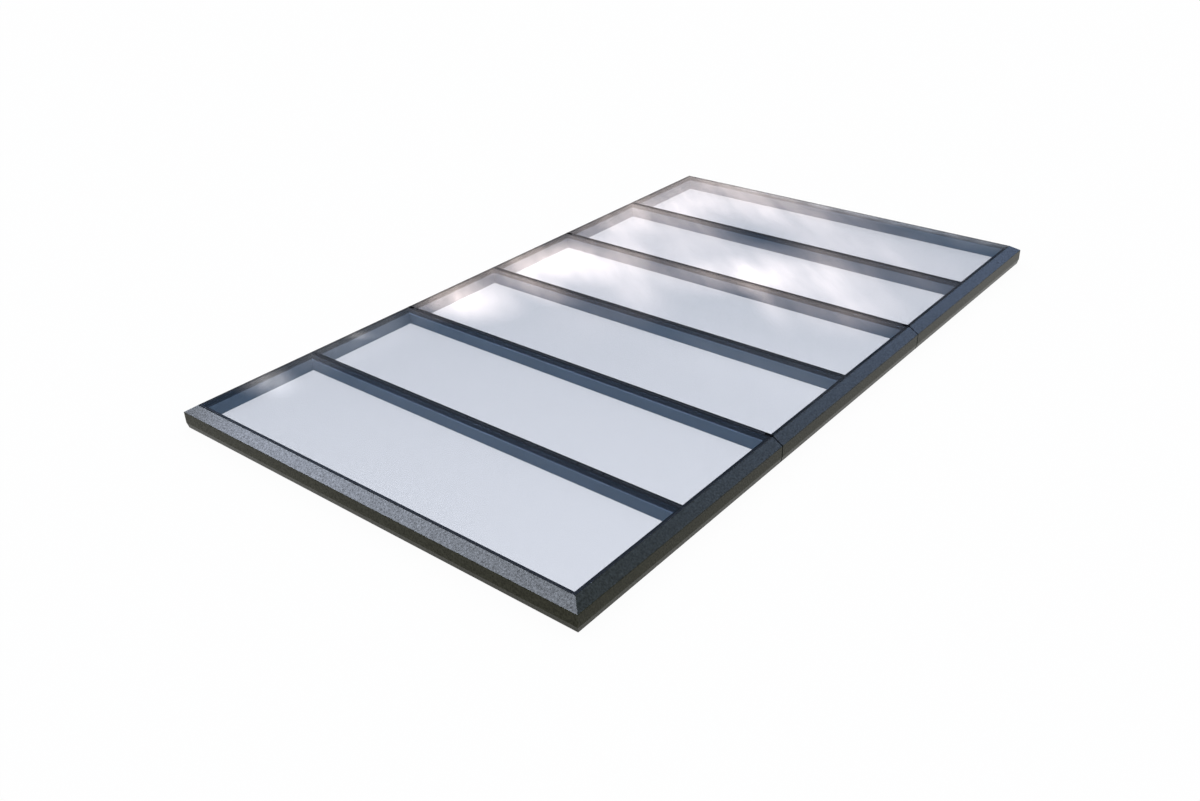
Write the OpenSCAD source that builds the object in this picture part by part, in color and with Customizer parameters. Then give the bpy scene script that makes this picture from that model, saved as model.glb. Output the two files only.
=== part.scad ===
// Fixed modular flat-roof skylight: three coupled modules of two glass units each, on an aluminium
// frame with thermally separated, mitred capping. X runs across the panes, Y along the row of panes
// with the front at -Y, and Z is up. The origin is under the centre, level with the capping's skirt.

/* [Glazed area] */
// Width between the inner top edges of the side cappings
glazed_w = 2760; // [1800:10:3200]
// Distance from one pane joint to the next
pane_pitch = 800; // [600:10:1000]
// Width of the sealed joint between two panes
joint_gap = 8; // [6:1:12]
// Width of the seam between two modules
seam_gap = 9; // [4:1:10]
// Depth of the sealant in the joints
sealant_d = 12; // [8:1:14]
// How far the sealant lies below the glass
sealant_recess = 1; // [0.5:0.5:2]

/* [Glass unit] */
// Thickness of the toughened outer pane
outer_glass_t = 6; // [5:1:10]
// Depth of the gas space between the panes
cavity_t = 14; // [12:1:18]
// Thickness of the laminated inner pane
inner_glass_t = 8; // [6:1:12]
// Width of the spacer bar seen from above
spacer_w = 7; // [6:1:12]
// Bevel along the outer edges of the spacer bar
spacer_bevel = 3; // [1:0.5:4]
// Width of the seal between the spacer and the edge of the panes
edge_seal_w = 7; // [6:1:12]
// Thickness of the gasket under the unit
bed_t = 4; // [3:0.5:6]
// Width of the gasket under the unit
bed_w = 23; // [12:1:23]
// Length of the blocks that centre a unit in the frame
block_l = 60; // [40:5:100]
// Height of those blocks
block_h = 7; // [6:0.5:8]

/* [Capping] */
// Horizontal reach of the sloped top
slope_out = 61; // [55:1:80]
// Drop of the sloped top
slope_drop = 38; // [36:1:46]
// Height of the upright face
face_h = 69; // [62:1:90]
// Height of the lip that laps over the roof kerb
lip_h = 35; // [20:1:60]
// How far the lip leans inward
lip_in = 8; // [2:0.5:12]
// Width of the turned-in edge under the lip
return_w = 7; // [5:0.5:9]
// Thickness of the capping
cap_t = 3; // [2:0.25:4]
// Radius of the capping's folds at the crest and at the lip's edge
fold_r = 3; // [1.5:0.25:4]
// Radius of the capping's edge beside the glass
nose_r = 1; // [0.5:0.25:1.5]
// Depth of the nose beside the glass
nose_h = 24; // [20:1:26]
// Recess of the seal in the seams of the capping
seam_recess = 0.8; // [0.4:0.1:1.5]
// Length of the sealant tab that runs from a seam onto the glass
tab_l = 48; // [25:1:60]
// Width of that tab
tab_w = 18; // [12:1:24]
// Thickness of that tab
tab_t = 1.2; // [0.8:0.1:2]

/* [Frame] */
// Distance from a joint, or from the capping's edge, to the frame's inner face
frame_in = 37; // [34:1:50]
// Reach of the rail's box outside the glazed edge
rail_out = 10; // [9:1:16]
// Reach of the rail's fixing flange outside the glazed edge
flange_out = 36; // [32:1:40]
// Thickness of the fixing flange
flange_t = 3.5; // [3:0.5:6]
// Wall of the rails and bars
wall_t = 2.5; // [2:0.25:3]
// Height of the web inside the rails above the seat
rail_web = 25; // [20:1:28]
// Height of the web inside the bars above the seat
bar_web = 50; // [48:1:54]
// Bevel along the upper edges of the frame's inner faces
bevel = 1.5; // [1:0.5:4]
// Height of the fin that carries the capping
fin_h = 18; // [16:1:20]
// Space between the fin and the capping's nose
fin_gap = 1; // [0.5:0.25:2]
// Distance from the frame's face to the gasket's groove
groove_in = 13; // [11:0.5:16]
// Width of the gasket's groove
groove_w = 5; // [4:0.5:6]
// Depth of the gasket's groove
groove_d = 4; // [3:0.5:5]
// Width of the seal in the frame's seat
seat_seal_w = 10; // [6:1:14]
// Depth of the seal in the frame's seat
seat_seal_d = 3; // [2:0.5:4]
// Distance from the rail's outer wall to that seal
seat_seal_out = 15; // [10:1:17]

/* [Fixings] */
// Bore of the holes for the screws into the kerb
fixing_d = 7; // [5:0.5:9]
// Bore of the holes in the insulation above them
access_d = 16; // [14:0.5:18]
// Length of a capping clip
clip_l = 40; // [25:1:60]
// Height of a capping clip
clip_h = 50; // [40:1:52]
// Thickness of a capping clip and of the ribs that it snaps behind
clip_t = 2; // [1.5:0.25:2.5]
// Reach of the capping's ribs
rib_l = 4; // [3:0.5:6]
// Shank of the clip screws
clip_screw_d = 5; // [4:0.5:6]
// Shank of the screws in the bar cleats
cleat_screw_d = 6; // [5:0.5:8]
// Thickness of the bar cleats
cleat_t = 4; // [3:0.5:6]
// Length of the bar cleats along the bar
cleat_l = 45; // [35:1:70]
// Height of the bar cleats
cleat_h = 40; // [36:1:44]
// Length of a corner key's legs
key_leg = 90; // [60:5:140]
// Wall of a corner key
key_t = 8; // [6:0.5:10]
// Thread of the bolts that join two modules
bolt_d = 8; // [6:1:10]
// Height of those bolts above the seat
bolt_up = 25; // [20:1:30]
// Bore of the holes that give access to those bolts
plug_d = 22; // [20:0.5:24]

/* [Hidden] */
$fn = 48;

pane_count = 6;
panes_per_module = 2;
module_count = pane_count / panes_per_module;
clips_per_module = 4;
fixings_per_module = 2;
end_clips = 6;
end_fixings = 4;
bolts_per_seam = 5;

glazed_l = pane_count * pane_pitch;
module_l = panes_per_module * pane_pitch;
half_w = glazed_w / 2;
half_l = glazed_l / 2;

// Heights, from the skirt's edge at zero
z_seat = lip_h;
z_crest = lip_h + face_h;
z_glass = z_crest + slope_drop;
z_cavity_top = z_glass - outer_glass_t;
z_cavity = z_cavity_top - cavity_t;
z_unit = z_cavity - inner_glass_t;
z_frame = z_unit - bed_t;
z_fin = z_frame + fin_h;
z_sealant = z_glass - sealant_recess;

// Clearances, how far a cut runs past a face, and what the mitres have to spare
fit = 0.2;
loose = 0.5;
past = 1;
hair = 0.01;
mitre_spare = 20;

// Distances outward of the glazed edge, or inward of it
pane_inset = joint_gap / 2;
spacer_inset = pane_inset + edge_seal_w;
groove_inset = frame_in - groove_in;
bed_inset = groove_inset - bed_w / 2;
fin_o = cap_t + fin_gap;
cap_inside = slope_out - cap_t;
fixing_o = (rail_out + flange_out) / 2;
mitre_out = slope_out + mitre_spare;
mitre_in = frame_in + mitre_spare;
coupling_b = seam_gap / 2;
bar_screw_b = frame_in / 2;
half_bar_mid = (coupling_b + frame_in) / 2;
cleat_foot = 0.65 * cleat_l;

// Capping ledge, insulation and clips
ledge_t = 2.5;
insulation_drop = 10;
z_insulation = z_seat + flange_t;
insulation_top = z_frame - insulation_drop;
clip_up = 12;
clip_bottom = z_seat + clip_up;
clip_top = clip_bottom + clip_h;
clip_z = (clip_bottom + clip_top) / 2;

// Screws, with a hexagon socket of this share of the head, and the usual bolts and nuts
socket_share = 0.5;
clip_head_d = 2 * clip_screw_d;
clip_head_h = 3;
cleat_head_d = 1.7 * cleat_screw_d;
cleat_head_h = 3;
cleat_screw_drop = 8;
cleat_screw_z = z_seat + cleat_h - cleat_screw_drop;
cleat_tip = 6;
nut_w = 1.625 * bolt_d;
nut_h = 0.8 * bolt_d;
bolt_head_h = 0.66 * bolt_d;
bolt_tip = 2;
bolt_z = z_seat + bolt_up;
nut_seat = coupling_b + wall_t;
plug_rim = 0.5;
plug_rim_t = 1;

alu = "#2f3740";
glass = "#c4d4dc80";
rubber = "#15181c";
foam = "#b9b4a6";
steel = "#a9adb2";

function spread(count, length) = [for (i = [0:count - 1]) (i + 0.5 - count / 2) * length / count];
function joint_y(j) = j * pane_pitch - half_l;
function module_mid(m) = (m - 0.5) * module_l - half_l;

// Ends of a side piece of module m, measured along +Y
function side_start(m) = m == 1 ? -half_l : (m - 1) * module_l - half_l + seam_gap / 2;
function side_end(m) = m == module_count ? half_l : m * module_l - half_l - seam_gap / 2;

// Outline of a sheet that lies to the right of a path of points
function unit(v) = v / norm(v);
function side_of(path, i) = let (d = unit(path[i + 1] - path[i])) [d[1], -d[0]];
function corner_of(path, i) =
    i == 0 ? side_of(path, 0) :
    i == len(path) - 1 ? side_of(path, i - 1) :
    let (a = side_of(path, i - 1), b = side_of(path, i)) (a + b) / (1 + a * b);
function shifted(path, t) = [for (i = [0:len(path) - 1]) path[i] + t * corner_of(path, i)];
function reversed(list) = [for (i = [len(list) - 1:-1:0]) list[i]];
function sheet(path, t0, t1) = concat(shifted(path, t1), reversed(shifted(path, t0)));

// What rounding by r takes off the sheet's outer corner i. The circle is a hair larger than r, so
// that it crosses the faces and doesn't graze them.
module corner_scrap(path, i, r) {
    centre = path[i] + r * corner_of(path, i);
    difference() {
        polygon([path[i] - past * corner_of(path, i), centre - (r + past) * side_of(path, i - 1),
            centre, centre - (r + past) * side_of(path, i)]);
        translate(centre) circle(r = r + hair);
    }
}

cap_path = [
    [0, z_glass - nose_h],
    [0, z_glass],
    [slope_out, z_crest],
    [slope_out, lip_h],
    [slope_out - lip_in, 0],
    [slope_out - lip_in - return_w, 0]];

module rect(x0, y0, x1, y1) {
    translate([x0, y0]) square([x1 - x0, y1 - y0]);
}

// A section of (distance outward, height) drawn along X on the front edge, from s0 to s1
module front_run(s0, s1) {
    translate([s0, -half_l, 0]) mirror([0, 1, 0]) rotate([90, 0, 90]) linear_extrude(s1 - s0) children();
}

// The same on the right edge, drawn along Y
module right_run(s0, s1) {
    translate([half_w, s0, 0]) mirror([0, 1, 0]) rotate([90, 0, 0]) linear_extrude(s1 - s0) children();
}

// A section along the front edge with both ends mitred
module front_mitred() {
    intersection() {
        front_run(-half_w - mitre_out, half_w + mitre_out) children();
        translate([0, -half_l, 0]) linear_extrude(2 * z_glass) polygon([
            [-half_w - mitre_out, -mitre_out], [half_w + mitre_out, -mitre_out],
            [half_w - mitre_in, mitre_in], [-half_w + mitre_in, mitre_in]]);
    }
}

// A section along the right edge of module m, mitred where it meets the front or the back
module right_mitred(m) {
    out_0 = m == 1 ? mitre_out : 0;
    in_0 = m == 1 ? mitre_in : 0;
    out_1 = m == module_count ? mitre_out : 0;
    in_1 = m == module_count ? mitre_in : 0;
    intersection() {
        right_run(side_start(m) - out_0, side_end(m) + out_1) children();
        translate([half_w, 0, 0]) linear_extrude(2 * z_glass) polygon([
            [-mitre_in, side_start(m) + in_0], [mitre_out, side_start(m) - out_0],
            [mitre_out, side_end(m) + out_1], [-mitre_in, side_end(m) - in_1]]);
    }
}

module on_left() { mirror([1, 0, 0]) children(); }
module on_back() { mirror([0, 1, 0]) children(); }
module on_both_ends() {
    children();
    on_back() children();
}
module on_both_sides() {
    children();
    on_left() children();
}

// Children at each place along the front edge, or along the right edge
module at_front(places) {
    for (x = places) translate([x, -half_l, 0]) children();
}
module at_right(places) {
    for (y = places) translate([half_w, y, 0]) rotate([0, 0, 90]) children();
}

// A cylinder from o0 to o1 outward of the edge, in the frame of at_front
module outward_pin(d, o0, o1, z, fn = $fn) {
    translate([0, -o0, z]) rotate([90, 0, 0]) cylinder(d = d, h = o1 - o0, $fn = fn);
}

// A block over the cell of pane k, held back from the cell's edges
module cell_block(k, inset, z0, z1) {
    translate([inset - half_w, joint_y(k - 1) + inset, z0])
        cube([glazed_w - 2 * inset, pane_pitch - 2 * inset, z1 - z0]);
}
module cell_ring(k, inset, width, z0, z1) {
    difference() {
        cell_block(k, inset, z0, z1);
        cell_block(k, inset + width, z0 - past, z1 + past);
    }
}

// Outline of a hollow frame section with a bevelled edge on its inner face, at x0
module tube_outline(x0, x1) {
    polygon([[x0, z_seat], [x1, z_seat], [x1, z_frame], [x0 + bevel, z_frame], [x0, z_frame - bevel]]);
}
module chambers(x0, x1, web) {
    rect(x0 + wall_t, z_seat + wall_t, x1 - wall_t, z_seat + web - wall_t / 2);
    rect(x0 + wall_t, z_seat + web + wall_t / 2, x1 - wall_t, z_frame - wall_t);
}
module bed_groove(x, wall) {
    rect(x - groove_w / 2 - wall, z_frame - groove_d - wall, x + groove_w / 2 + wall, z_frame);
}
module seat_groove(wall) {
    x1 = rail_out - seat_seal_out;
    rect(x1 - seat_seal_w - wall, z_seat, x1 + wall, z_seat + seat_seal_d + wall);
}

module rail_section() {
    difference() {
        union() {
            difference() {
                tube_outline(-frame_in, rail_out);
                chambers(-frame_in, rail_out, rail_web);
            }
            bed_groove(-groove_inset, wall_t);
            seat_groove(wall_t);
            rect(rail_out - wall_t, z_seat, flange_out, z_seat + flange_t);
            rect(fin_o, z_frame - wall_t, fin_o + wall_t, z_fin);
        }
        bed_groove(-groove_inset, 0);
        seat_groove(0);
    }
}

module fixing_holes() {
    translate([0, -fixing_o, z_seat - past]) cylinder(d = fixing_d, h = flange_t + 2 * past);
}
module cleat_pilot() {
    outward_pin(cleat_screw_d + fit, -frame_in - past, wall_t - frame_in + past, cleat_screw_z);
}
module clip_pilot() {
    outward_pin(clip_screw_d + fit, rail_out - wall_t - past, rail_out + past, clip_z);
}

module end_rail() {
    color(alu) difference() {
        front_mitred() rail_section();
        at_front(spread(end_fixings, glazed_w)) fixing_holes();
        at_front(spread(end_clips, glazed_w)) clip_pilot();
    }
}
module side_rail(m) {
    color(alu) difference() {
        right_mitred(m) rail_section();
        translate([0, module_mid(m), 0]) {
            at_right(spread(fixings_per_module, module_l)) fixing_holes();
            at_right(spread(clips_per_module, module_l)) clip_pilot();
        }
        at_cleats() at_right([0]) cleat_pilot();
    }
}

// The bars, each drawn in (distance along Y from its joint, height) and run along X
module bar_run(j) {
    length = glazed_w - 2 * frame_in;
    translate([-length / 2, joint_y(j), 0]) rotate([90, 0, 90]) linear_extrude(length) children();
}
module bar_section() {
    difference() {
        union() {
            difference() {
                intersection() {
                    tube_outline(-frame_in, frame_in);
                    mirror([1, 0]) tube_outline(-frame_in, frame_in);
                }
                chambers(-frame_in, frame_in, bar_web);
            }
            bed_groove(-groove_inset, wall_t);
            bed_groove(groove_inset, wall_t);
        }
        bed_groove(-groove_inset, 0);
        bed_groove(groove_inset, 0);
    }
}
module coupling_section() {
    difference() {
        union() {
            difference() {
                tube_outline(-frame_in, -coupling_b);
                chambers(-frame_in, -coupling_b, bar_web);
            }
            bed_groove(-groove_inset, wall_t);
        }
        bed_groove(-groove_inset, 0);
    }
}

// Joints that lie inside a module, joints between two modules, and the screws at a bar's end
inner_joints = [for (m = [1:module_count]) (m - 0.5) * panes_per_module];
seam_joints = [for (m = [1:module_count - 1]) m * panes_per_module];
module at_cleats() {
    for (j = inner_joints, b = [-1, 1]) translate([0, joint_y(j) + b * bar_screw_b, 0]) children();
    for (j = seam_joints, b = [-1, 1]) translate([0, joint_y(j) + b * half_bar_mid, 0]) children();
}
module foot_hole(clear) {
    translate([0, frame_in + cleat_foot, z_seat]) {
        cylinder(d1 = cleat_head_d + clear, d2 = cleat_screw_d + clear, h = wall_t);
        cylinder(d = cleat_screw_d + clear, h = wall_t + cleat_t + clear);
    }
}
module foot_holes(clear) {
    on_both_sides() at_cleats() at_right([0]) foot_hole(clear);
}

module full_bar(j) {
    color(alu) difference() {
        bar_run(j) bar_section();
        foot_holes(fit);
    }
}
bolt_places = spread(bolts_per_seam, glazed_w - 2 * frame_in);
module coupling_bar(j, facing) {
    color(alu) difference() {
        bar_run(j) {
            if (facing > 0) coupling_section();
            else mirror([1, 0]) coupling_section();
        }
        foot_holes(fit);
        bolt_holes(j, fit);
        for (x = bolt_places) translate([x, joint_y(j) - facing * half_bar_mid, z_seat - past])
            cylinder(d = plug_d, h = wall_t + 2 * past);
    }
}
module bolt_holes(j, clear) {
    depth = seam_gap + 2 * (wall_t + past);
    for (x = bolt_places) translate([x, joint_y(j) + depth / 2, bolt_z]) rotate([90, 0, 0])
        cylinder(d = bolt_d + 2 * clear, h = depth);
}

// The glass units
module outer_pane(k) { color(glass) cell_block(k, pane_inset, z_cavity_top, z_glass); }
module inner_pane(k) { color(glass) cell_block(k, pane_inset, z_unit, z_cavity); }

// The spacer's outer shape, bevelled along its upper and lower edges
module spacer_block(k) {
    side = sqrt(2) * spacer_bevel;
    difference() {
        cell_block(k, spacer_inset, z_cavity, z_cavity_top);
        for (z = [z_cavity, z_cavity_top], b = [-1, 1]) {
            translate([0, joint_y(k - 0.5) + b * (pane_pitch / 2 - spacer_inset), z]) rotate([45, 0, 0])
                cube([glazed_w, side, side], center = true);
            translate([b * (half_w - spacer_inset), joint_y(k - 0.5), z]) rotate([0, 45, 0])
                cube([side, pane_pitch, side], center = true);
        }
    }
}
module spacer(k) {
    color("#24282c") difference() {
        spacer_block(k);
        cell_block(k, spacer_inset + spacer_w, z_cavity - past, z_cavity_top + past);
    }
}
module edge_seals() {
    color(rubber) for (k = [1:pane_count]) difference() {
        cell_block(k, pane_inset, z_cavity, z_cavity_top);
        spacer_block(k);
    }
}

// Gasket rings under the units, with a stem along each side that sits in the frame's groove
module bed_stem(k, length, offset, turn) {
    translate([0, joint_y(k - 0.5), 0]) rotate([0, 0, turn])
        translate([-length / 2, offset - groove_w / 2 + fit, z_frame - groove_d + fit])
        cube([length, groove_w - 2 * fit, groove_d]);
}
module bed_gaskets() {
    color(rubber) for (k = [1:pane_count]) {
        cell_ring(k, bed_inset, bed_w, z_frame, z_unit);
        for (turn = [0, 180]) bed_stem(k, glazed_w - 2 * frame_in, pane_pitch / 2 - groove_inset, turn);
        for (turn = [90, 270]) bed_stem(k, pane_pitch - 2 * frame_in, half_w - groove_inset, turn);
    }
}
module edge_block() {
    translate([-block_l / 2, -fin_o, z_frame]) cube([block_l, fin_o + pane_inset, block_h]);
}
module edge_blocks() {
    color("#3a3f45") {
        for (k = [1:pane_count]) on_both_sides() translate([0, joint_y(k - 0.5), 0])
            at_right(spread(2, pane_pitch)) edge_block();
        on_both_ends() at_front(spread(2, glazed_w)) edge_block();
    }
}

// Sealant between the panes, and between the panes and the capping
module pane_joints() {
    color(rubber) for (j = [1:pane_count - 1])
        translate([pane_inset - half_w, joint_y(j) - pane_inset, z_sealant - sealant_d])
        cube([glazed_w - 2 * pane_inset, joint_gap, sealant_d]);
}
module perimeter_seal() {
    color(rubber) difference() {
        translate([-half_w, -half_l, z_sealant - sealant_d]) cube([glazed_w, glazed_l, sealant_d]);
        translate([pane_inset - half_w, pane_inset - half_l, 0])
            cube([glazed_w - joint_gap, glazed_l - joint_gap, 2 * z_glass]);
    }
}

// The capping: nose, slope, upright face, leaning lip and turned-in edge, with a ledge that
// sits on the rail's fin and two ribs for the clips
module cap_section() {
    root = cap_t / 2;
    difference() {
        polygon(sheet(cap_path, 0, cap_t));
        corner_scrap(cap_path, 1, nose_r);
        corner_scrap(cap_path, 2, fold_r);
        corner_scrap(cap_path, 4, fold_r);
    }
    rect(root, z_fin, fin_o + wall_t + loose, z_fin + ledge_t);
    rect(cap_inside - rib_l, clip_top, cap_inside + root, clip_top + clip_t);
    rect(cap_inside - rib_l, clip_bottom - clip_t, cap_inside + root, clip_bottom);
}
module end_cap() { color(alu) front_mitred() cap_section(); }
module side_cap(m) { color(alu) right_mitred(m) cap_section(); }

// Seal in the capping's seams, flush at the nose, with a tab over the end of the pane joint
module seam_section() {
    polygon(sheet(cap_path, seam_recess, cap_t));
    polygon([[0, z_glass - nose_h], [cap_t, z_glass - nose_h],
        [cap_t, z_glass - cap_t * slope_drop / slope_out], [0, z_glass]]);
}
module seam_tab() {
    fill_h = sealant_recess + tab_t;
    translate([0, 0, z_glass]) linear_extrude(tab_t) {
        rect(-tab_w / 2, 0, tab_w / 2, tab_l - tab_w / 2);
        translate([0, tab_l - tab_w / 2]) circle(d = tab_w);
    }
    translate([-pane_inset, 0, z_sealant]) cube([joint_gap, tab_l - tab_w, fill_h]);
    translate([-tab_w / 2, 0, z_sealant]) cube([tab_w, pane_inset, fill_h]);
    translate([-coupling_b, -cap_t / 2, z_sealant]) cube([seam_gap, cap_t, sealant_recess]);
}
module cap_seam_seals() {
    color(rubber) on_both_sides() {
        for (m = [1:module_count - 1]) right_run(side_end(m), side_start(m + 1)) seam_section();
        for (j = seam_joints) at_right([joint_y(j)]) seam_tab();
    }
}

// Insulation between the rail and the capping, with access holes over the kerb fixings
module insulation_section() { rect(rail_out, z_insulation, flange_out, insulation_top); }
module access_hole() { translate([0, -fixing_o, z_insulation - past]) cylinder(d = access_d, h = z_frame); }
module clip_bore() { outward_pin(clip_screw_d + fit, rail_out - past, flange_out + past, clip_z); }
module insulation_ends() {
    color(foam) on_both_ends() difference() {
        front_mitred() insulation_section();
        at_front(spread(end_fixings, glazed_w)) access_hole();
        at_front(spread(end_clips, glazed_w)) clip_bore();
    }
}
module insulation_sides() {
    color(foam) for (m = [1:module_count]) on_both_sides() difference() {
        right_mitred(m) insulation_section();
        translate([0, module_mid(m), 0]) {
            at_right(spread(fixings_per_module, module_l)) access_hole();
            at_right(spread(clips_per_module, module_l)) clip_bore();
        }
    }
}

// Spring clips that hold the capping, each with one screw through the insulation into the rail
module at_clips() {
    on_both_ends() at_front(spread(end_clips, glazed_w)) children();
    for (m = [1:module_count]) on_both_sides() translate([0, module_mid(m), 0])
        at_right(spread(clips_per_module, module_l)) children();
}
module clip() {
    arm = cap_inside - fit - flange_out;
    difference() {
        translate([-clip_l / 2, -flange_out - arm, clip_bottom]) cube([clip_l, arm, clip_h]);
        translate([-clip_l / 2 - past, -flange_out - arm - past, clip_bottom + clip_t])
            cube([clip_l + 2 * past, arm - clip_t + past, clip_h - 2 * clip_t]);
        outward_pin(clip_screw_d + fit, flange_out - past, flange_out + clip_t + past, clip_z);
    }
}
module clip_screw() {
    under_head = flange_out + clip_t;
    outward_pin(clip_screw_d, rail_out - 2 * wall_t, under_head + fit, clip_z);
    difference() {
        outward_pin(clip_head_d, under_head, under_head + clip_head_h, clip_z);
        outward_pin(socket_share * clip_head_d, under_head + past, under_head + clip_head_h + past,
            clip_z, 6);
    }
}
module cap_clips() { color(steel) at_clips() clip(); }
module clip_screws() { color(steel) at_clips() clip_screw(); }

// Keys in the rails' upper chambers at the four mitred corners
module corner_key() {
    z0 = z_seat + rail_web + wall_t / 2;
    z1 = z_frame - groove_d - wall_t - loose;
    out = rail_out - wall_t - loose;
    inside = frame_in - wall_t - loose;
    difference() {
        translate([0, 0, z0]) linear_extrude(z1 - z0) key_outline(out, inside, key_leg);
        translate([0, 0, z0 + key_t]) linear_extrude(z1 - z0)
            key_outline(out - key_t, inside - key_t, key_leg - key_t);
    }
}
module key_outline(out, inside, leg) {
    rect(-inside - leg, -out, out, inside);
    rect(-inside, -out, out, inside + leg);
}
module corner_keys() {
    color(steel) on_both_sides() on_both_ends() translate([half_w, -half_l, 0]) corner_key();
}

// Angle cleats inside the bars' ends, screwed to the rails and to the bars' bottom walls
module cleat(width) {
    difference() {
        translate([-width / 2, frame_in, z_seat + wall_t]) difference() {
            cube([width, cleat_l, cleat_h]);
            translate([-past, cleat_t, cleat_t]) cube([width + 2 * past, cleat_l, cleat_h]);
        }
        children();
    }
}
module cleat_holes() {
    outward_pin(cleat_screw_d + fit, -frame_in - cleat_t - past, past - frame_in, cleat_screw_z);
    translate([0, frame_in + cleat_foot, z_seat])
        cylinder(d = cleat_screw_d + fit, h = wall_t + cleat_t + past);
}
module bar_cleats() {
    full_w = 2 * (frame_in - wall_t - loose);
    half_w_cleat = frame_in - coupling_b - 2 * (wall_t + loose);
    color(steel) on_both_sides() {
        for (j = inner_joints) translate([0, joint_y(j), 0]) at_right([0]) cleat(full_w)
            for (b = [-1, 1]) translate([b * bar_screw_b, 0, 0]) cleat_holes();
        for (j = seam_joints, b = [-1, 1]) translate([0, joint_y(j) + b * half_bar_mid, 0]) at_right([0])
            cleat(half_w_cleat) cleat_holes();
    }
}
module cleat_screw() {
    under_head = -frame_in - cleat_t;
    outward_pin(cleat_screw_d, under_head - fit, wall_t - frame_in + cleat_tip, cleat_screw_z);
    difference() {
        outward_pin(cleat_head_d, under_head - cleat_head_h, under_head, cleat_screw_z);
        outward_pin(socket_share * cleat_head_d, under_head - cleat_head_h - past, under_head - past,
            cleat_screw_z, 6);
    }
}
module foot_screw() {
    difference() {
        foot_hole(0);
        translate([0, frame_in + cleat_foot, z_seat - past])
            cylinder(d = socket_share * cleat_head_d, h = wall_t, $fn = 6);
    }
}
module cleat_screws() {
    color(steel) on_both_sides() at_cleats() at_right([0]) {
        cleat_screw();
        foot_screw();
    }
}

// What couples two modules: a rubber strip, bolts and nuts, and plugs in the access holes
module coupling_gasket(j) {
    z0 = z_seat + seat_seal_d;
    difference() {
        translate([0, joint_y(j) + seam_gap / 2, 0]) rotate([90, 0, 0]) linear_extrude(seam_gap) {
            rect(-half_w - rail_out, z0, half_w + rail_out, z_frame);
            rect(-half_w - flange_out, z0, half_w + flange_out, insulation_top);
        }
        bolt_holes(j, fit);
    }
}
module coupling_gaskets() { color(rubber) for (j = seam_joints) coupling_gasket(j); }
module at_bolts() {
    for (j = seam_joints, x = bolt_places) translate([x, joint_y(j), bolt_z]) rotate([90, 0, 0]) children();
}
module coupling_bolts() {
    color(steel) at_bolts() {
        translate([0, 0, nut_seat]) cylinder(d = nut_w / cos(30), h = bolt_head_h, $fn = 6);
        translate([0, 0, -nut_seat - nut_h - bolt_tip])
            cylinder(d = bolt_d, h = 2 * nut_seat + nut_h + bolt_tip + fit);
    }
}
module coupling_nuts() {
    color(steel) at_bolts() translate([0, 0, -nut_seat - nut_h]) difference() {
        cylinder(d = nut_w / cos(30), h = nut_h, $fn = 6);
        translate([0, 0, -past]) cylinder(d = bolt_d + fit, h = nut_h + 2 * past);
    }
}
module access_plugs() {
    color(rubber) for (j = seam_joints, b = [-1, 1], x = bolt_places)
        translate([x, joint_y(j) + b * half_bar_mid, z_seat]) {
            cylinder(d = plug_d - fit, h = wall_t);
            translate([0, 0, wall_t]) cylinder(d = plug_d + 2 * plug_rim, h = plug_rim_t);
        }
}

// Seal in the groove of the frame's seat
module seat_seal() {
    o1 = rail_out - seat_seal_out;
    o0 = o1 - seat_seal_w;
    color(rubber) translate([0, 0, z_seat]) linear_extrude(seat_seal_d) difference() {
        rect(-half_w - o1, -half_l - o1, half_w + o1, half_l + o1);
        rect(-half_w - o0, -half_l - o0, half_w + o0, half_l + o0);
    }
}

end_rail();  // rail_front
on_back() end_rail();  // rail_back
on_left() side_rail(1);  // rail_left_1
on_left() side_rail(2);  // rail_left_2
on_left() side_rail(3);  // rail_left_3
side_rail(1);  // rail_right_1
side_rail(2);  // rail_right_2
side_rail(3);  // rail_right_3
full_bar(1);  // bar_1
full_bar(3);  // bar_3
full_bar(5);  // bar_5
coupling_bar(2, 1);  // coupling_bar_2a
coupling_bar(2, -1);  // coupling_bar_2b
coupling_bar(4, 1);  // coupling_bar_4a
coupling_bar(4, -1);  // coupling_bar_4b
outer_pane(1);  // outer_pane_1
outer_pane(2);  // outer_pane_2
outer_pane(3);  // outer_pane_3
outer_pane(4);  // outer_pane_4
outer_pane(5);  // outer_pane_5
outer_pane(6);  // outer_pane_6
inner_pane(1);  // inner_pane_1
inner_pane(2);  // inner_pane_2
inner_pane(3);  // inner_pane_3
inner_pane(4);  // inner_pane_4
inner_pane(5);  // inner_pane_5
inner_pane(6);  // inner_pane_6
spacer(1);  // spacer_1
spacer(2);  // spacer_2
spacer(3);  // spacer_3
spacer(4);  // spacer_4
spacer(5);  // spacer_5
spacer(6);  // spacer_6
edge_seals();
bed_gaskets();
edge_blocks();
pane_joints();
perimeter_seal();
end_cap();  // cap_front
on_back() end_cap();  // cap_back
on_left() side_cap(1);  // cap_left_1
on_left() side_cap(2);  // cap_left_2
on_left() side_cap(3);  // cap_left_3
side_cap(1);  // cap_right_1
side_cap(2);  // cap_right_2
side_cap(3);  // cap_right_3
cap_seam_seals();
insulation_ends();
insulation_sides();
cap_clips();
clip_screws();
corner_keys();
bar_cleats();
cleat_screws();
coupling_gaskets();
coupling_bolts();
coupling_nuts();
access_plugs();
seat_seal();
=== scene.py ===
from math import radians

import bpy
from mathutils import Matrix, Vector


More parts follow.
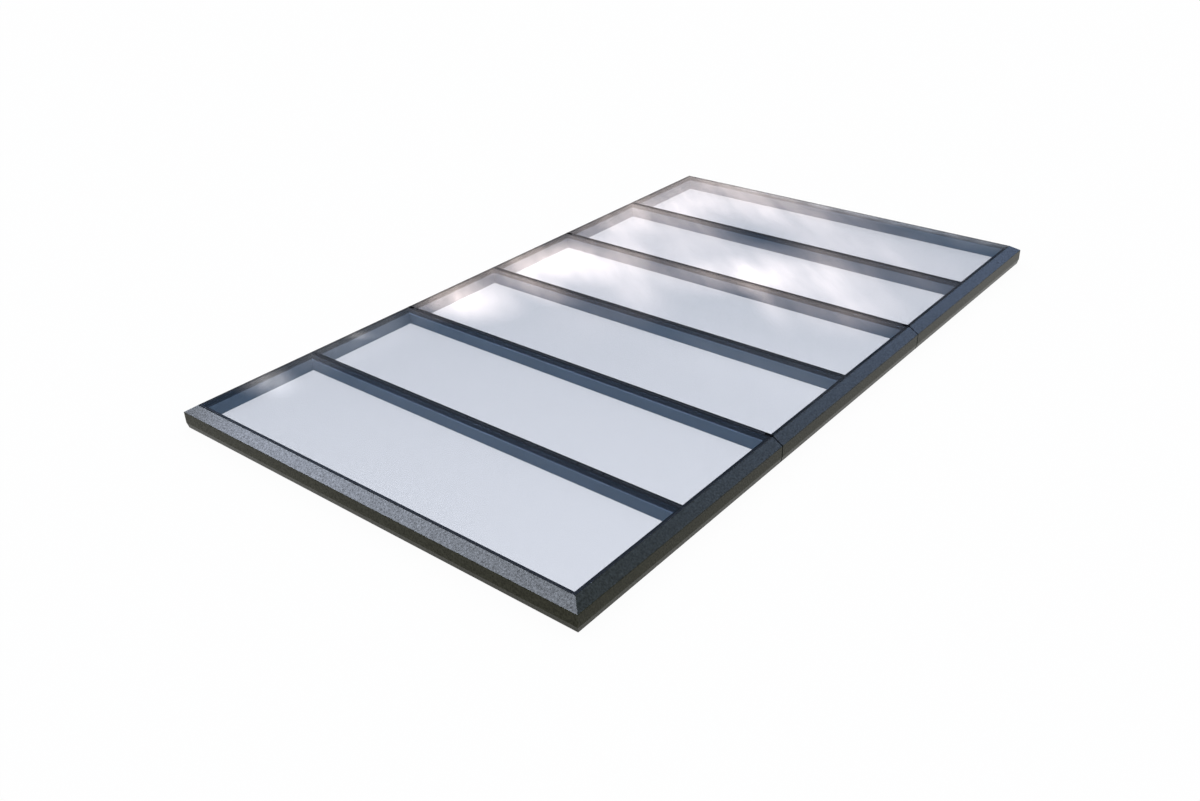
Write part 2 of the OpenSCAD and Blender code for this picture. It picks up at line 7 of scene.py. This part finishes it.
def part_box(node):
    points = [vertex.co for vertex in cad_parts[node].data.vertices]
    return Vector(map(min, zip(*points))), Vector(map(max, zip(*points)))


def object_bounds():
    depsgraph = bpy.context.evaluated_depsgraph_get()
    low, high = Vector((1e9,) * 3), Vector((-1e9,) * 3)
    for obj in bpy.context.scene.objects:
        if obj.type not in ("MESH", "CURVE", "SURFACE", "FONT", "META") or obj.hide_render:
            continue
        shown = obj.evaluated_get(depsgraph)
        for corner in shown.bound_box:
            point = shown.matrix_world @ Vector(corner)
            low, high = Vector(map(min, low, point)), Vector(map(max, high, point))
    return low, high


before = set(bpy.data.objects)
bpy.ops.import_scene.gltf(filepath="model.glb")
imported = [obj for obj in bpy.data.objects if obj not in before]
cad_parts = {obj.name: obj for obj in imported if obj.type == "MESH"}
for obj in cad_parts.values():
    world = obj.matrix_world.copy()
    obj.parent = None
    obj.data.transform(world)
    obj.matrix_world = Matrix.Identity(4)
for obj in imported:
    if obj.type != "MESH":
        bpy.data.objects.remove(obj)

cad_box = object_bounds()
scene = bpy.context.scene
scene.view_settings.view_transform = "Standard"

# Camera
# The view of the photograph, from the front right and above, slightly turned. It was worked out
# from the corners of the glass, the pane joints and the outline, for a picture of 1200 x 801.
view_from = Vector((3.885, -5.205, 3.2285))
view_turn = radians(39.76)
view_down = radians(29.64)
view_roll = radians(1.88)
camera_data = bpy.data.cameras.new("photo_view")
camera_data.sensor_fit = "HORIZONTAL"
camera_data.sensor_width = 36.0
camera_data.lens = 33.85
camera = bpy.data.objects.new("photo_view", camera_data)
scene.collection.objects.link(camera)
camera.matrix_world = (
    Matrix.Translation(view_from)
    @ Matrix.Rotation(view_turn, 4, "Z")
    @ Matrix.Rotation(radians(90) - view_down, 4, "X")
    @ Matrix.Rotation(-view_roll, 4, "Z")
)
scene.camera = camera


# Floor
# A plain pale sheet under the skylight. It looks white to the eye, in the metal and through the
# glass, and part of it stays a matt surface, so that the object's soft shadow lies on it.
def linear(hex_colour):
    """An sRGB colour such as #3A414B as linear red, green, blue and alpha."""
    channels = [int(hex_colour[i:i + 2], 16) / 255 for i in (1, 3, 5)]
    curve = [c / 12.92 if c <= 0.04045 else ((c + 0.055) / 1.055) ** 2.4 for c in channels]
    return (*curve, 1.0)


def add(tree, kind, sockets=None, **settings):
    """Adds a node. A socket takes a value, a socket, or a node, which gives its first output."""
    node = tree.nodes.new(kind)
    for name, value in settings.items():
        setattr(node, name, value)
    for name, value in (sockets or {}).items():
        socket = next(s for s in node.inputs if s.enabled and name in (s.identifier, s.name))
        if isinstance(value, bpy.types.Node):
            value = next(s for s in value.outputs if s.enabled)
        if isinstance(value, bpy.types.NodeSocket):
            tree.links.new(value, socket)
        else:
            socket.default_value = value
    return node


def maths(tree, operation, *values, **settings):
    """A sum on up to three values, sockets or nodes."""
    sockets = dict(zip(("Value", "Value_001", "Value_002"), values))
    return add(tree, "ShaderNodeMath", sockets, operation=operation, **settings)


def new_material(name):
    """An empty node material and its tree."""
    material = bpy.data.materials.new(name)
    material.use_nodes = True
    material.node_tree.nodes.clear()
    return material, material.node_tree


floor_size = 90.0
floor_white_share = 0.82
floor_white = 1.16
floor_colour = "#8C8C8C"

paper, tree = new_material("matt_white_paper")
path = add(tree, "ShaderNodeLightPath").outputs
seen = maths(tree, "ADD", path["Is Camera Ray"], path["Is Glossy Ray"])
seen = maths(tree, "ADD", seen, path["Is Transmission Ray"], use_clamp=True)
share = maths(tree, "MULTIPLY", seen, floor_white_share)
matt = add(tree, "ShaderNodeBsdfDiffuse", {"Color": linear(floor_colour)})
white = add(tree, "ShaderNodeEmission", {"Color": (1, 1, 1, 1), "Strength": floor_white})
mixed = add(tree, "ShaderNodeMixShader", {"Fac": share, "Shader": matt, "Shader_001": white})
add(tree, "ShaderNodeOutputMaterial", {"Surface": mixed})

bpy.ops.mesh.primitive_plane_add(size=floor_size, location=(0, 0, cad_box[0][2]))
floor = bpy.context.object
floor.name = "floor"
floor.data.materials.append(paper)

# Light
# An even dome lights everything. What glass and metal mirror of it is a dim grey-blue sky with soft
# clouds, and the eye sees plain white beyond the floor. A soft box at the front left only shines in
# glossy surfaces: the sloped front of the capping mirrors it.
dome_colour = "#F4F6FA"
dome_strength = 1.0
mirrored_colour = "#5B6F86"
mirrored_strength = 0.75
# Rays that rise less than this meet the plain white beyond the floor
least_rise = 0.03
glass_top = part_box("outer_pane_1")[1][2]
# Clouds by colour. Each is a soft oval as it shows in the plane of the glass from the camera:
# middle x and y, turn in degrees, half length and half width in metres, and strength. A negative
# one is a gap.
clouds = {
    "#FFECE1": [
        (-1.1, 0.3, 45, 0.95, 0.60, 2.0),
        (-0.4, 0.3, -30, 0.80, 0.20, 0.4),
        (-1.2, -0.5, 0, 0.60, 0.40, 1.9),
        (-0.8, -0.1, -10, 0.40, 0.20, 1.2),
        (-1.2, 1.3, 90, 1.00, 0.60, 1.1),
        (-0.5, 0.6, -75, 1.50, 0.60, 0.4),
        (0.2, 0.9, 30, 0.90, 0.45, 1.1),
        (0.4, 0.7, -45, 0.80, 0.15, 0.6),
        (0.9, 0.8, -20, 0.60, 0.50, 0.7),
        (0.2, 1.5, 0, 1.60, 1.10, 0.6),
        (-0.2, 1.6, -20, 0.80, 0.35, -0.6),
        (-0.9, 2.7, -25, 1.60, 1.60, 1.5),
    ],
    "#F2EDEA": [
        (-1.4, -1.4, 85, 0.90, 0.50, 0.4),
        (-1.3, -2.0, 0, 0.32, 0.20, 1.3),
        (0.9, -0.2, 0, 1.20, 0.50, 0.15),
        (1.1, 2.4, 0, 0.60, 0.30, 0.25),
        (-1.36, -1.3, 30, 0.22, 0.08, 0.6),
    ],
    "#DDE2EC": [
        (0.2, 2.53, 0, 2.40, 0.26, 2.8),
    ],
    "#A9C3FA": [
        (5.4, -0.6, 90, 6.00, 2.60, 7.3),
    ],
}
# Streaks in the clouds: turn in degrees, length and width in metres, weakest and strongest level
streak_turn = -40
streak_length = 0.9
streak_width = 0.2
streak_levels = (0.6, 1.4)
# Most of what a noise texture gives lies between these
noise_span = {"start": 0.3, "end": 0.7}


def spots(tree, size, detail, roughness=0.5, place=None):
    """Soft noise with spots of a size in metres, in the piece's own coordinates or given ones."""
    if place is None:
        place = add(tree, "ShaderNodeTexCoord").outputs["Object"]
    noise = add(
        tree,
        "ShaderNodeTexNoise",
        {"Vector": place, "Scale": 1 / size, "Detail": detail, "Roughness": roughness},
    )
    return noise.outputs["Fac"]


def ramp(tree, value, low, high, start=0.0, end=1.0, **settings):
    """A level that goes from low to high while the value goes from start to end."""
    sockets = {"Value": value, "From Min": start, "From Max": end, "To Min": low, "To Max": high}
    return add(tree, "ShaderNodeMapRange", sockets, **settings).outputs["Result"]


def total_level(tree, ovals, spot, streaks):
    """The summed strength of soft oval clouds at the spot, never below nothing, with streaks."""
    level = 0.0
    for x, y, turn, half_length, half_width, strength in ovals:
        inside = add(
            tree,
            "ShaderNodeMapping",
            {
                "Vector": spot,
                "Location": (x, y, 0.0),
                "Rotation": (0.0, 0.0, radians(turn)),
                "Scale": (half_length, half_width, 1.0),
            },
            vector_type="TEXTURE",
        )
        away = add(tree, "ShaderNodeVectorMath", {"Vector": inside}, operation="LENGTH")
        cloud = ramp(
            tree,
            away.outputs["Value"],
            0.0,
            strength,
            start=1.0,
            end=0.0,
            interpolation_type="SMOOTHSTEP",
        )
        level = maths(tree, "ADD", level, cloud)
    level = maths(tree, "MAXIMUM", level, 0.0)
    return maths(tree, "MULTIPLY", level, streaks)


studio = bpy.data.worlds.new("studio")
studio.use_nodes = True
scene.world = studio
tree = studio.node_tree
tree.nodes.clear()
toward = add(tree, "ShaderNodeTexCoord").outputs["Generated"]
rise = add(tree, "ShaderNodeSeparateXYZ", {"Vector": toward}).outputs["Z"]
low = maths(tree, "LESS_THAN", rise, least_rise)
rise = maths(tree, "MAXIMUM", rise, least_rise)
# Where a mirrored ray would meet a level sheet as far above the glass as the camera is
stretch = maths(tree, "DIVIDE", view_from.z - glass_top, rise)
spot = add(tree, "ShaderNodeVectorMath", {"Vector": toward, "Scale": stretch}, operation="SCALE")
spot = add(
    tree,
    "ShaderNodeVectorMath",
    {"Vector": spot, "Vector_001": (view_from.x, view_from.y, glass_top - view_from.z)},
    operation="ADD",
)
spot = add(
    tree,
    "ShaderNodeVectorMath",
    {"Vector": spot, "Vector_001": (1.0, 1.0, 0.0)},
    operation="MULTIPLY",
)
drawn = add(
    tree,
    "ShaderNodeMapping",
    {
        "Vector": spot,
        "Rotation": (0.0, 0.0, radians(streak_turn)),
        "Scale": (streak_length, streak_width, 1.0),
    },
    vector_type="TEXTURE",
)
streaks = spots(tree, 1.0, detail=3.0, place=drawn)
streaks = ramp(tree, streaks, *streak_levels, **noise_span)
dome = add(tree, "ShaderNodeBackground", {"Color": linear(dome_colour), "Strength": dome_strength})
mirrored = add(
    tree, "ShaderNodeBackground", {"Color": linear(mirrored_colour), "Strength": mirrored_strength}
)
for colour, ovals in clouds.items():
    level = total_level(tree, ovals, spot, streaks)
    bright = add(tree, "ShaderNodeBackground", {"Color": linear(colour), "Strength": level})
    mirrored = add(tree, "ShaderNodeAddShader", {"Shader": mirrored, "Shader_001": bright})
behind = add(tree, "ShaderNodeBackground", {"Color": (1, 1, 1, 1), "Strength": 1.0})
path = add(tree, "ShaderNodeLightPath").outputs
clear_way = maths(tree, "MAXIMUM", path["Is Glossy Ray"], path["Is Transmission Ray"])
lit = add(
    tree, "ShaderNodeMixShader", {"Fac": clear_way, "Shader": dome, "Shader_001": mirrored}
)
seen = maths(tree, "MULTIPLY_ADD", clear_way, low, path["Is Camera Ray"], use_clamp=True)
seen_or_lit = add(tree, "ShaderNodeMixShader", {"Fac": seen, "Shader": lit, "Shader_001": behind})
add(tree, "ShaderNodeOutputWorld", {"Surface": seen_or_lit})

# Soft box: its middle, a point that it faces and the way its length runs, its size in metres and
# its power in watts
box_from = Vector((-2.6, -4.33, 4.74))
box_at = Vector((0.45, -2.5, 0.27))
box_along = Vector((4.4, -0.6, 1.3))
box_length = 6.6
box_width = 1.1
box_power = 965.0
box_colour = "#DEE7FF"
facing = (box_from - box_at).normalized()
across = facing.cross(box_along).normalized()
bpy.ops.object.light_add(type="AREA")
soft_box = bpy.context.object
soft_box.name = "soft_box"
soft_box.matrix_world = Matrix.Translation(box_from) @ Matrix(
    (across.cross(facing), across, facing)
).transposed().to_4x4()
soft_box.data.shape = "RECTANGLE"
soft_box.data.size = box_length
soft_box.data.size_y = box_width
soft_box.data.energy = box_power
soft_box.data.color = linear(box_colour)[:3]
soft_box.visible_camera = False
soft_box.visible_diffuse = False


# Frame: rails and bars
# Hollow aluminium extrusions with a satin powder coat, mitred and keyed at the corners. Its colour
# is drawn a lighter blue-grey than the capping's anthracite, which paints in the sky light on the
# bar faces under the glass. The coat is smoother than the capping's, with the faint orange peel of
# sprayed powder.
def dress(names, material):
    """Gives the CAD nodes of these names a material."""
    for name in names:
        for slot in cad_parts[name].material_slots:
            slot.material = material


def named(*starts):
    """The CAD nodes whose names start so."""
    return [n for n in sorted(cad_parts) if n.startswith(starts)]


def two_tone(tree, factor, first, second):
    """A colour that goes from the first to the second sRGB one with the factor."""
    sockets = {"Factor": factor, "A": linear(first), "B": linear(second)}
    return add(tree, "ShaderNodeMix", sockets, data_type="RGBA")


def relief(tree, height, depth, strength):
    """A bump with a depth in metres, weakened by a strength from 0 to 1."""
    return add(tree, "ShaderNodeBump", {"Strength": strength, "Distance": depth, "Height": height})


def principled(tree, sockets):
    """A Principled shader as the whole surface."""
    shader = add(tree, "ShaderNodeBsdfPrincipled", sockets)
    add(tree, "ShaderNodeOutputMaterial", {"Surface": shader})


frame_coat, tree = new_material("satin_powder_coat_painted_sky_lit_blue_grey")
# Orange peel of a sprayed coat, about 3 mm from crest to crest
peel = spots(tree, 0.003, detail=1.0)
# Slow change of the film's thickness over about half a metre
film = spots(tree, 0.5, detail=3.0)
principled(
    tree,
    {
        # Lighter than the capping's coat: painted sky light on the bar faces seen through the glass
        "Base Color": two_tone(tree, film, "#5C6B73", "#70808A"),
        "Roughness": ramp(tree, film, 0.34, 0.46),
        "IOR": 1.5,
        "Specular IOR Level": 0.3,
        "Normal": relief(tree, peel, depth=0.0002, strength=0.25),
    },
)
dress(named("rail_", "bar_1", "bar_3", "bar_5", "coupling_bar"), frame_coat)

# Corner keys and bar cleats
# Die-cast and sawn aluminium pieces that sit inside the rails and bars, left as they come from the
# die, with a grainy, slightly uneven grey skin.
cast_aluminium, tree = new_material("die_cast_aluminium")
# Cast skin with grains of about 2 mm
skin = spots(tree, 0.002, detail=3.0)
principled(
    tree,
    {
        "Base Color": two_tone(tree, skin, "#8F9296", "#B4B7BA"),
        "Metallic": 1.0,
        "Roughness": 0.5,
        "Normal": relief(tree, skin, depth=0.0003, strength=0.4),
    },
)
dress(["corner_keys", "bar_cleats"], cast_aluminium)

# Screws, bolts and nuts
# Cold-formed stainless steel fasteners: clip screws, countersunk cleat screws and the coupling
# bolts with their nuts. The metal is bright, with fine marks from forming and driving.
stainless_steel, tree = new_material("cold_formed_stainless_steel")
# Forming marks of about 0.6 mm
marks = spots(tree, 0.0006, detail=2.0)
principled(
    tree,
    {
        "Base Color": two_tone(tree, marks, "#9EA1A4", "#C6C8CA"),
        "Metallic": 1.0,
        "Roughness": ramp(tree, marks, 0.22, 0.42),
    },
)
dress(["clip_screws", "cleat_screws", "coupling_bolts", "coupling_nuts"], stainless_steel)

# Rubber gaskets
# Extruded black EPDM: the bedding under the glass units, the strips between two modules and the
# seal in the frame's seat, pushed into their grooves. The rubber is matt, with a faint grey bloom.
rubber, tree = new_material("extruded_epdm_rubber")
# Bloom in patches of about 12 mm, and the skin of the extrusion at about 1 mm
bloom = spots(tree, 0.012, detail=4.0)
skin = spots(tree, 0.001, detail=1.0)
principled(
    tree,
    {
        "Base Color": two_tone(tree, bloom, "#0E1012", "#1D2023"),
        "Roughness": ramp(tree, bloom, 0.55, 0.8),
        "IOR": 1.5,
        "Specular IOR Level": 0.2,
        "Normal": relief(tree, skin, depth=0.0002, strength=0.3),
    },
)
dress(["bed_gaskets", "coupling_gaskets", "seat_seal"], rubber)


# Setting blocks and plugs
# Injection-moulded black polypropylene: blocks that centre the glass units in the frame, and round
# plugs pressed into the access holes. A fine spark-eroded texture takes the shine off.
def cells(tree, size, randomness=1.0):
    """How far a point is from the middle of its cell, for cells of a size in metres."""
    place = add(tree, "ShaderNodeTexCoord").outputs["Object"]
    sockets = {"Vector": place, "Scale": 1 / size, "Randomness": randomness}
    return add(tree, "ShaderNodeTexVoronoi", sockets).outputs["Distance"]


moulded, tree = new_material("moulded_polypropylene")
# Eroded texture, drawn at 1.2 mm instead of 0.2 mm so that it shows
pits = cells(tree, 0.0012)
principled(
    tree,
    {
        "Base Color": two_tone(tree, pits, "#24282C", "#32373C"),
        "Roughness": 0.48,
        "IOR": 1.49,
        "Normal": relief(tree, pits, depth=0.0002, strength=0.25),
    },
)
dress(["edge_blocks", "access_plugs"], moulded)


# Glass panes
# Float glass: a toughened outer pane and a laminated inner one in each sealed unit. The faint blue
# tint builds up over both panes, and toughening leaves a slight wave that bends what it mirrors.
def clear_glass(name, wave_depth):
    """Glass that lets light from lamps through, with a slow wave in its surface."""
    tint = linear("#F6F8FD")
    material, tree = new_material(name)
    # Roller wave, about 300 mm from crest to crest
    wave = spots(tree, 0.3, detail=1.0)
    pane = add(
        tree,
        "ShaderNodeBsdfPrincipled",
        {
            "Base Color": tint,
            "Roughness": 0.0,
            "IOR": 1.52,
            "Transmission Weight": 1.0,
            "Normal": relief(tree, wave, depth=wave_depth, strength=1.0),
        },
    )
    open_way = add(tree, "ShaderNodeBsdfTransparent", {"Color": tint})
    path = add(tree, "ShaderNodeLightPath").outputs
    lamp_light = maths(tree, "MAXIMUM", path["Is Shadow Ray"], path["Is Diffuse Ray"])
    mixed = add(
        tree, "ShaderNodeMixShader", {"Fac": lamp_light, "Shader": pane, "Shader_001": open_way}
    )
    add(tree, "ShaderNodeOutputMaterial", {"Surface": mixed})
    return material


dress(named("inner_pane"), clear_glass("laminated_float_glass", wave_depth=0.00005))
dress(named("outer_pane"), clear_glass("toughened_float_glass", wave_depth=0.0001))

# Spacers
# Warm-edge spacer bars of black composite round each sealed unit, filled with drying beads. The
# face towards the gas space has rows of fine perforations.
composite, tree = new_material("black_spacer_composite")
# Perforations, drawn 6 mm apart instead of 2 mm so that they show
holes = cells(tree, 0.006, randomness=0.0)
wall = ramp(tree, holes, 0.0, 1.0, start=0.1, end=0.25)
principled(
    tree,
    {
        "Base Color": two_tone(tree, wall, "#07080A", "#1A1D21"),
        "Roughness": 0.6,
        "IOR": 1.5,
        "Specular IOR Level": 0.1,
    },
)
dress(named("spacer_"), composite)

# Edge seals
# Black polysulphide run in round the spacers, which seals each unit to the edge of its panes. It
# has set with a slightly lumpy skin.
polysulphide, tree = new_material("black_polysulphide")
# Lumps about 8 mm apart
lumps = spots(tree, 0.008, detail=2.0)
principled(
    tree,
    {
        "Base Color": two_tone(tree, lumps, "#0C0D0F", "#16181B"),
        "Roughness": 0.5,
        "IOR": 1.5,
        "Normal": relief(tree, lumps, depth=0.0004, strength=0.5),
    },
)
dress(["edge_seals"], polysulphide)

# Weather seal
# Dark grey silicone between the panes, and between glass and capping. It was gunned in and smoothed
# with a wet tool, which leaves a soft sheen and shallow ripples.
silicone, tree = new_material("tooled_dark_grey_silicone")
# Tool ripples about 25 mm apart
ripples = spots(tree, 0.025, detail=1.0)
principled(
    tree,
    {
        "Base Color": two_tone(tree, ripples, "#1E2227", "#2C3138"),
        "Roughness": ramp(tree, ripples, 0.22, 0.38),
        "IOR": 1.41,
        "Normal": relief(tree, ripples, depth=0.0008, strength=0.5),
    },
)
dress(["pane_joints", "perimeter_seal"], silicone)

# Seam sealant
# Black polyurethane gunned into the seams of the capping, with a tab smeared over the end of the
# pane joint beside each. It is matt, and slightly lumpy where it was pressed down.
seam_sealant, tree = new_material("black_polyurethane_sealant")
# Lumps about 10 mm apart
lumps = spots(tree, 0.01, detail=2.0)
principled(
    tree,
    {
        "Base Color": two_tone(tree, lumps, "#030405", "#090A0C"),
        "Roughness": 0.75,
        "IOR": 1.45,
        "Specular IOR Level": 0.05,
        "Normal": relief(tree, lumps, depth=0.0006, strength=0.6),
    },
)
dress(["cap_seam_seals"], seam_sealant)

# Insulation
# Strips of rigid foam, cut to size and pushed between the rails and the capping. The cut shows
# closed cells with darker walls.
foam, tree = new_material("rigid_insulation_foam")
# Cells, drawn at 2.5 mm instead of 0.5 mm so that they show
bubbles = cells(tree, 0.0025)
principled(
    tree,
    {
        "Base Color": two_tone(tree, bubbles, "#D6CFBD", "#A9A18D"),
        "Roughness": 0.9,
        "IOR": 1.4,
        "Normal": relief(tree, bubbles, depth=0.0006, strength=0.6),
    },
)
dress(["insulation_ends", "insulation_sides"], foam)

# Capping clips
# Folded spring steel, each held by one screw through the foam. The capping's ribs snap behind them.
# Rolling has left fine straight streaks along the strip.
spring_steel, tree = new_material("rolled_spring_steel")
place = add(tree, "ShaderNodeTexCoord").outputs["Object"]
# Streaks 0.5 mm wide and 60 mm long
mark_length = 0.06
mark_width = 0.0005
squeezed = (1.0, 1.0, mark_length / mark_width)
rolled = add(tree, "ShaderNodeMapping", {"Vector": place, "Scale": squeezed})
marks = spots(tree, mark_length, detail=2.0, place=rolled)
principled(
    tree,
    {
        "Base Color": two_tone(tree, marks, "#8B8E92", "#B9BBBE"),
        "Metallic": 1.0,
        "Roughness": ramp(tree, marks, 0.2, 0.4),
    },
)
dress(["cap_clips"], spring_steel)

# Capping
# Extruded aluminium lengths, mitred at the corners and butted at the module seams, with a textured
# powder coat in anthracite. Its base colour is drawn olive-yellow, which paints in a reflection of
# green ground that the coat itself doesn't have. The coat is a fine hard grain that glitters where
# it mirrors a light.
capping_coat, tree = new_material("textured_anthracite_coat_painted_olive_reflection")
# Grain, drawn at 9 mm instead of about 1 mm so that it shows
grain = spots(tree, 0.009, detail=2.0, roughness=0.6)
principled(
    tree,
    {
        # The olive-yellow tone is a painted reflection of green ground, not the anthracite coat's
        # own colour
        "Base Color": two_tone(tree, grain, "#030302", "#353517"),
        "Roughness": 0.27,
        "IOR": 1.5,
        "Specular IOR Level": ramp(tree, grain, 0.05, 0.15, **noise_span),
        "Normal": relief(tree, grain, depth=0.001, strength=0.1),
    },
)
dress(named("cap_front", "cap_back", "cap_left", "cap_right"), capping_coat)
